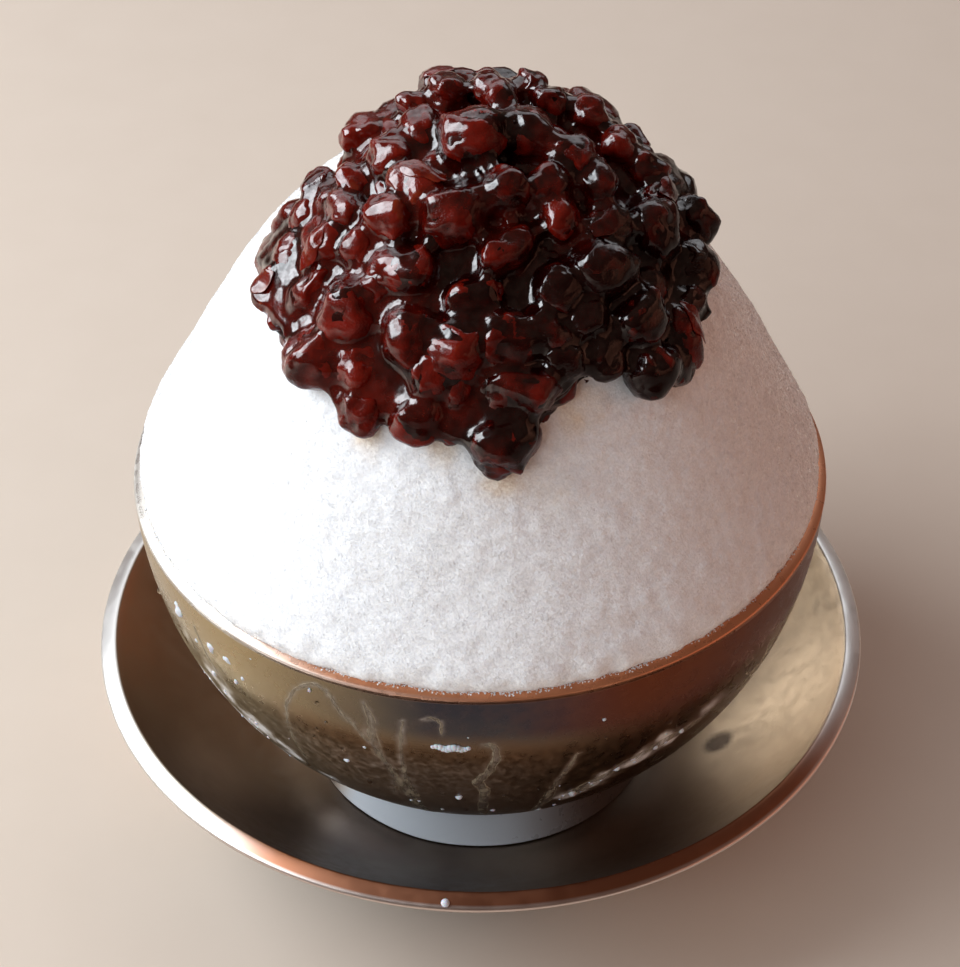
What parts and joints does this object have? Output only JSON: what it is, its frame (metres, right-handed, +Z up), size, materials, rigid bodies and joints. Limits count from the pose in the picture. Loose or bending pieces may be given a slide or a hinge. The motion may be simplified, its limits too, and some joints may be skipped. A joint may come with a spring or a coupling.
{
  "type": "bingsu in a bowl on a saucer",
  "caption": "Shaved ice mounded high in a round metal bowl, topped with glossy sweet red beans, standing on a deep metal saucer.",
  "frame": {"origin": "the middle of the saucer's flat underside, where the set stands on a table", "axes": "+Z up through the bowl and the mound of ice; -Y is the front, where the bean heap reaches lowest; +X to the right seen from the front"},
  "size_m": [0.151, 0.151, 0.1536],
  "materials": {
    "saucer_bronze": "forged and turned bronze, satin, worn smooth at the rim",
    "bowl_bronze": "forged and turned bronze, satin, wet with condensation outside",
    "shaved_ice": "fine shaved ice crystals, white and slightly see-through",
    "sweet_red_bean": "cooked azuki beans in glossy dark red syrup"
  },
  "bodies": {
    "root": {"saucer": "saucer_bronze", "bowl": "bowl_bronze", "shaved_ice": "shaved_ice", "red_bean_heap": "sweet_red_bean"}
  },
  "joints": []
}
